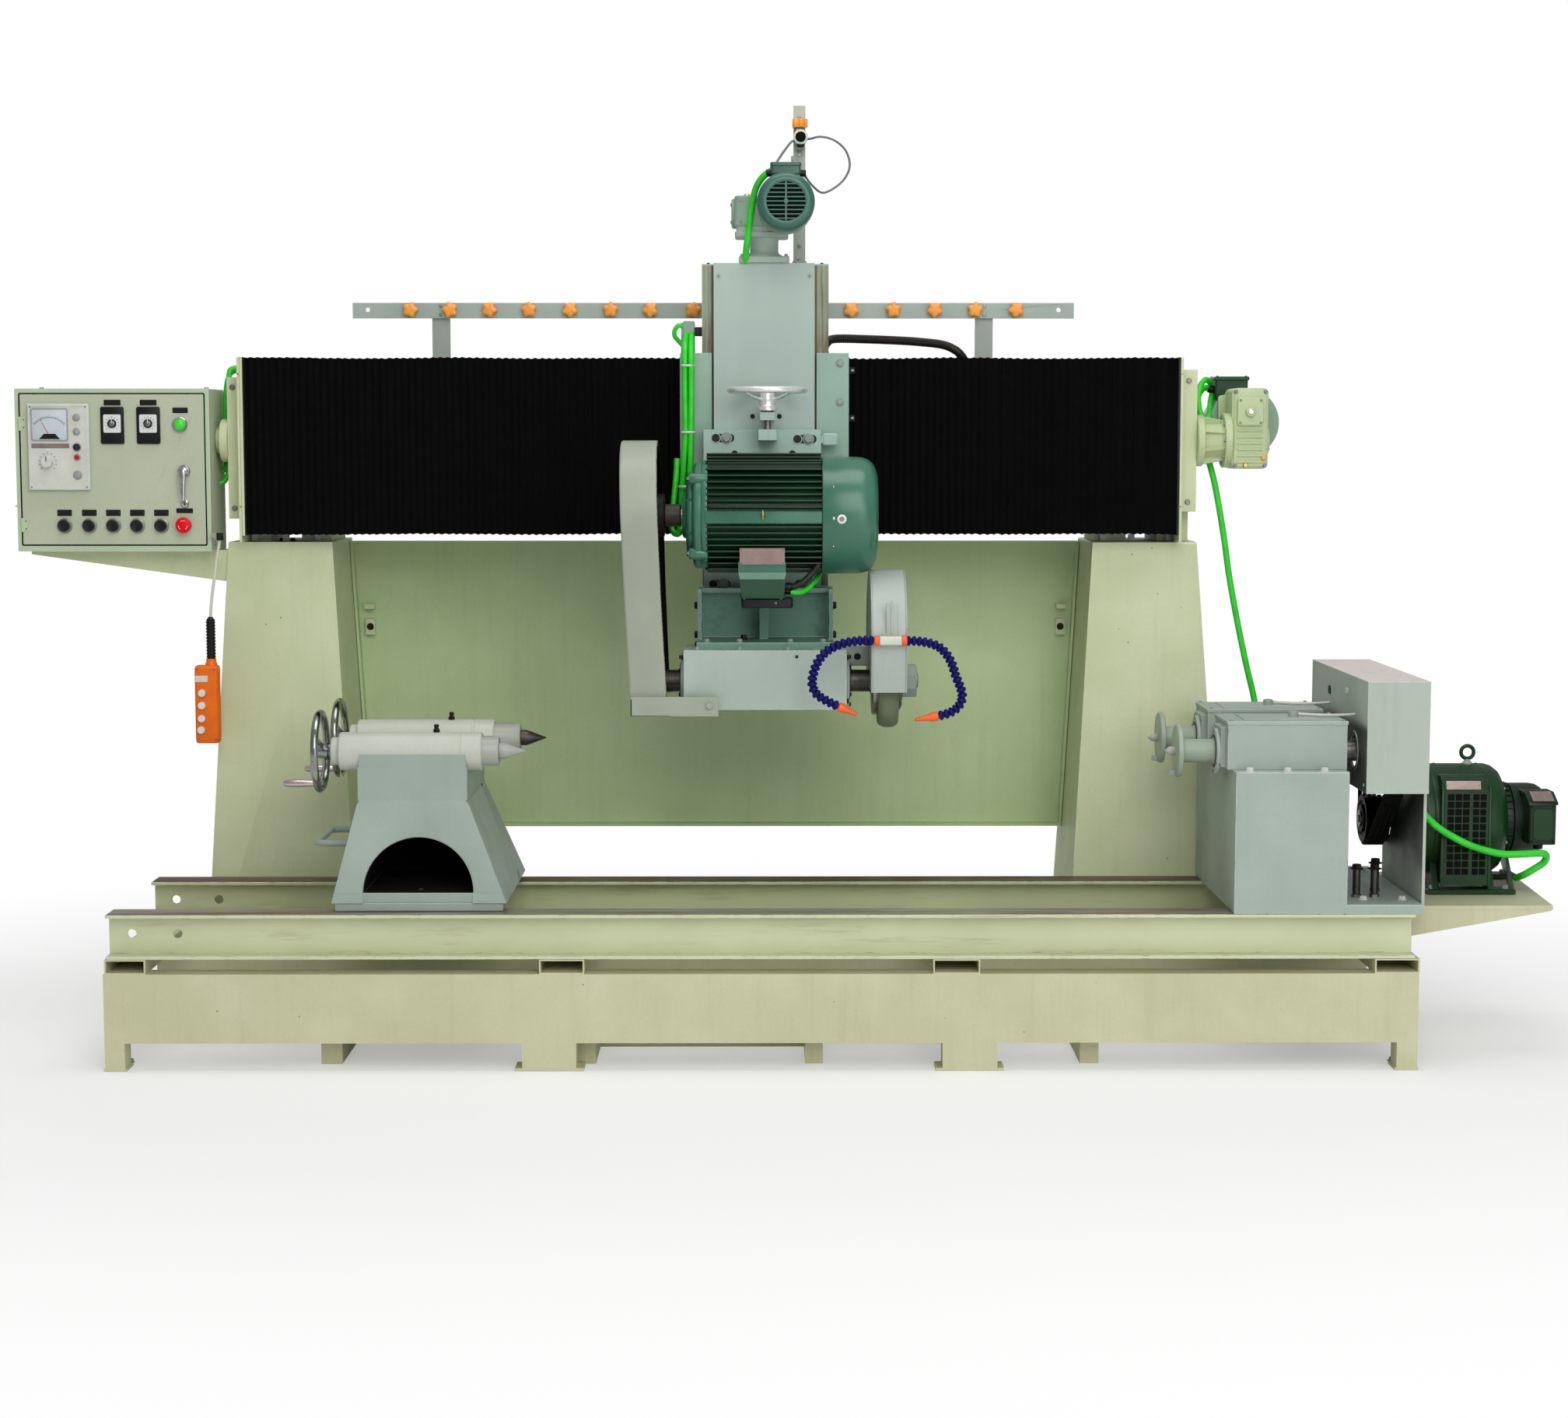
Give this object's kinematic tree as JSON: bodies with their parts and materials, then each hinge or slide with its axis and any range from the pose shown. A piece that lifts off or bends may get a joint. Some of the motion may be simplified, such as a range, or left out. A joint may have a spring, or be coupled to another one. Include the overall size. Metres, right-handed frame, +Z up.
{
  "type": "wet profile-grinding machine",
  "caption": "Gantry grinding machine: wheel head on a ram and traversing carriage over a bed with paired work spindles, a double tailstock, a template bar and a control cabinet.",
  "frame": {"origin": "on the floor, midway between the two bed rails, at the middle of the bed", "axes": "+X along the bed to the operator's right, +Y to the back, +Z up"},
  "size_m": [4.362, 1.26, 2.634],
  "materials": {
    "cream": "satin cream enamel, scuffed",
    "rail_steel": "cream enamel with worn steel top",
    "machine_grey": "grey-green machine enamel",
    "casting_green": "painted casting",
    "guard_pale": "pale grey enamel",
    "motor_green": "dark green enamel",
    "cabinet": "powder coat",
    "bellows_black": "pleated coated cloth",
    "knob_orange": "moulded",
    "chrome": "polished",
    "steel": "turned",
    "pulley_black": "black",
    "rubber_belt": "matte",
    "plastic_black": "gloss",
    "plastic_red": "gloss",
    "plastic_white": "moulded",
    "pendant_orange": "moulded",
    "hose_navy": "moulded segments",
    "wheel_stone": "abrasive, matte"
  },
  "bodies": {
    "machine": {"bed_frame": "cream", "front_rail": "rail_steel", "rear_rail": "rail_steel", "gantry_base": "cream", "left_pillar": "cream", "right_pillar": "cream", "rear_panel": "cream", "cross_beam": "cream", "traverse_gearbox": "cream", "traverse_motor": "motor_green", "template_bar": "machine_grey", "template_knobs": "knob_orange", "bellows_left": "bellows_black", "bellows_right": "bellows_black", "headstock_base": "machine_grey", "headstock_front_box": "machine_grey", "headstock_rear_box": "machine_grey", "belt_cover": "guard_pale", "work_motor": "motor_green", "work_belt": "rubber_belt", "control_box": "cabinet"},
    "door": {"control_door": "cabinet", "speed_controller": "plastic_white"},
    "push_button_1_body": {"push_button_1": "plastic_black"},
    "push_button_2_body": {"push_button_2": "plastic_black"},
    "push_button_3_body": {"push_button_3": "plastic_black"},
    "push_button_4_body": {"push_button_4": "plastic_black"},
    "push_button_5_body": {"push_button_5": "plastic_black"},
    "emergency_stop_body": {"emergency_stop": "plastic_red"},
    "timer_dial_1_body": {"timer_dial_1": "steel"},
    "timer_dial_2_body": {"timer_dial_2": "steel"},
    "speed_dial_body": {"speed_dial": "plastic_white"},
    "door_latch_body": {"door_latch": "chrome"},
    "carriage": {"saddle": "machine_grey"},
    "traverse_screw_body": {"traverse_screw": "steel"},
    "ram_body": {"ram": "machine_grey", "feed_gearbox": "machine_grey", "feed_motor": "motor_green", "tracer_post": "machine_grey"},
    "feed_screw_body": {"feed_screw": "steel"},
    "head_handwheel_body": {"head_handwheel": "chrome"},
    "head": {"head_slide": "casting_green", "main_motor": "motor_green", "belt_guard": "guard_pale", "spindle_housing": "machine_grey", "wheel_guard": "guard_pale", "coolant_hoses": "hose_navy", "drive_belt": "rubber_belt"},
    "motor_pulley_body": {"motor_pulley": "steel"},
    "wheel_spindle_body": {"wheel_spindle": "steel", "grinding_wheel": "wheel_stone"},
    "tailstock": {"tailstock_body": "machine_grey"},
    "quill_front_body": {"quill_front": "steel"},
    "quill_rear_body": {"quill_rear": "steel"},
    "handwheel_front_body": {"handwheel_front": "chrome"},
    "handwheel_rear_body": {"handwheel_rear": "chrome"},
    "work_spindle_front_body": {"work_spindle_front": "steel"},
    "work_spindle_rear_body": {"work_spindle_rear": "steel"},
    "work_motor_pulley_body": {"work_motor_pulley": "pulley_black"},
    "pendant_body": {"pendant": "pendant_orange"}
  },
  "joints": [
    {"name": "carriage_slide", "type": "slide", "parent": "machine", "child": "carriage", "axis": [1, 0, 0], "range_m": [-0.7, 0.38], "deforming": ["bellows_left", "bellows_right"]},
    {"name": "traverse_screw_spin", "type": "hinge", "parent": "machine", "child": "traverse_screw_body", "pos_m": [0, 0.44, 1.69], "axis": [1, 0, 0], "range_deg": [-25300, 13750]},
    {"name": "ram_slide", "type": "slide", "parent": "carriage", "child": "ram_body", "axis": [0, 0, -1], "range_m": [-0.25, 0.25]},
    {"name": "feed_screw_spin", "type": "hinge", "parent": "ram_body", "child": "feed_screw_body", "pos_m": [0.01, 0.298, 1.69], "axis": [0, 0, 1], "range_deg": [-15050, 15050]},
    {"name": "head_slide_fine", "type": "slide", "parent": "ram_body", "child": "head", "axis": [0, 0, 1], "range_m": [-0.025, 0.025]},
    {"name": "head_handwheel_spin", "type": "hinge", "parent": "ram_body", "child": "head_handwheel_body", "pos_m": [0.017, 0.075, 1.83], "axis": [0, 0, 1], "range_deg": [-1810, 1810]},
    {"name": "wheel_spindle_spin", "type": "hinge", "parent": "head", "child": "wheel_spindle_body", "pos_m": [0, 0, 1.027], "axis": [1, 0, 0], "continuous": true},
    {"name": "motor_pulley_spin", "type": "hinge", "parent": "head", "child": "motor_pulley_body", "pos_m": [-0.3, -0.01, 1.485], "axis": [1, 0, 0], "continuous": true},
    {"name": "tailstock_slide", "type": "slide", "parent": "machine", "child": "tailstock", "axis": [-1, 0, 0], "range_m": [-0.6, 0.2]},
    {"name": "handwheel_front_spin", "type": "hinge", "parent": "tailstock", "child": "handwheel_front_body", "pos_m": [-1.196, -0.168, 0.85], "axis": [1, 0, 0], "range_deg": [-1800, 5760]},
    {"name": "quill_front_slide", "type": "slide", "parent": "tailstock", "child": "quill_front_body", "axis": [1, 0, 0], "range_m": [-0.0251, 0.0801]},
    {"name": "handwheel_rear_spin", "type": "hinge", "parent": "tailstock", "child": "handwheel_rear_body", "pos_m": [-1.196, 0.168, 0.85], "axis": [1, 0, 0], "range_deg": [-1800, 5760]},
    {"name": "quill_rear_slide", "type": "slide", "parent": "tailstock", "child": "quill_rear_body", "axis": [1, 0, 0], "range_m": [-0.0251, 0.0801]},
    {"name": "work_spindle_front_spin", "type": "hinge", "parent": "machine", "child": "work_spindle_front_body", "pos_m": [1.2, -0.168, 0.85], "axis": [1, 0, 0], "continuous": true},
    {"name": "work_spindle_rear_spin", "type": "hinge", "parent": "machine", "child": "work_spindle_rear_body", "pos_m": [1.2, 0.168, 0.85], "axis": [1, 0, 0], "continuous": true},
    {"name": "work_motor_pulley_spin", "type": "hinge", "parent": "machine", "child": "work_motor_pulley_body", "pos_m": [1.7, 0.15, 0.62], "axis": [1, 0, 0], "continuous": true},
    {"name": "door_hinge", "type": "hinge", "parent": "machine", "child": "door", "pos_m": [-2.126, 0.3305, 1.6], "axis": [0, 0, -1], "range_deg": [0, 110]},
    {"name": "door_latch_turn", "type": "hinge", "parent": "door", "child": "door_latch_body", "pos_m": [-1.658, 0.315, 1.602], "axis": [0, -1, 0], "range_deg": [0, 90]},
    {"name": "push_button_1_press", "type": "slide", "parent": "door", "child": "push_button_1_body", "axis": [0, 1, 0], "range_m": [0, 0.004]},
    {"name": "push_button_2_press", "type": "slide", "parent": "door", "child": "push_button_2_body", "axis": [0, 1, 0], "range_m": [0, 0.004]},
    {"name": "push_button_3_press", "type": "slide", "parent": "door", "child": "push_button_3_body", "axis": [0, 1, 0], "range_m": [0, 0.004]},
    {"name": "push_button_4_press", "type": "slide", "parent": "door", "child": "push_button_4_body", "axis": [0, 1, 0], "range_m": [0, 0.004]},
    {"name": "push_button_5_press", "type": "slide", "parent": "door", "child": "push_button_5_body", "axis": [0, 1, 0], "range_m": [0, 0.004]},
    {"name": "emergency_stop_press", "type": "slide", "parent": "door", "child": "emergency_stop_body", "axis": [0, 1, 0], "range_m": [0, 0.006]},
    {"name": "timer_dial_1_turn", "type": "hinge", "parent": "door", "child": "timer_dial_1_body", "pos_m": [-1.86, 0.32, 1.738], "axis": [0, -1, 0], "range_deg": [0, 270]},
    {"name": "timer_dial_2_turn", "type": "hinge", "parent": "door", "child": "timer_dial_2_body", "pos_m": [-1.757, 0.32, 1.738], "axis": [0, -1, 0], "range_deg": [0, 270]},
    {"name": "speed_dial_turn", "type": "hinge", "parent": "door", "child": "speed_dial_body", "pos_m": [-2.045, 0.31, 1.629], "axis": [0, -1, 0], "range_deg": [0, 270]},
    {"name": "pendant_swing", "type": "hinge", "parent": "machine", "child": "pendant_body", "pos_m": [-1.556, 0.314, 1.412], "axis": [0, 1, 0], "range_deg": [-12, 12]}
  ],
  "couplings": [
    {"joint": "traverse_screw_spin", "follows": "carriage_slide", "rad_per_m": 628.32},
    {"joint": "feed_screw_spin", "follows": "ram_slide", "rad_per_m": 1047.2},
    {"joint": "head_handwheel_spin", "follows": "head_slide_fine", "rad_per_m": 1256.6},
    {"joint": "motor_pulley_spin", "follows": "wheel_spindle_spin", "ratio": 0.76923},
    {"joint": "quill_front_slide", "follows": "handwheel_front_spin", "m_per_rad": 0.0007958},
    {"joint": "quill_rear_slide", "follows": "handwheel_rear_spin", "m_per_rad": 0.0007958},
    {"joint": "work_spindle_rear_spin", "follows": "work_spindle_front_spin", "ratio": 1},
    {"joint": "work_motor_pulley_spin", "follows": "work_spindle_front_spin", "ratio": 0.88235}
  ]
}
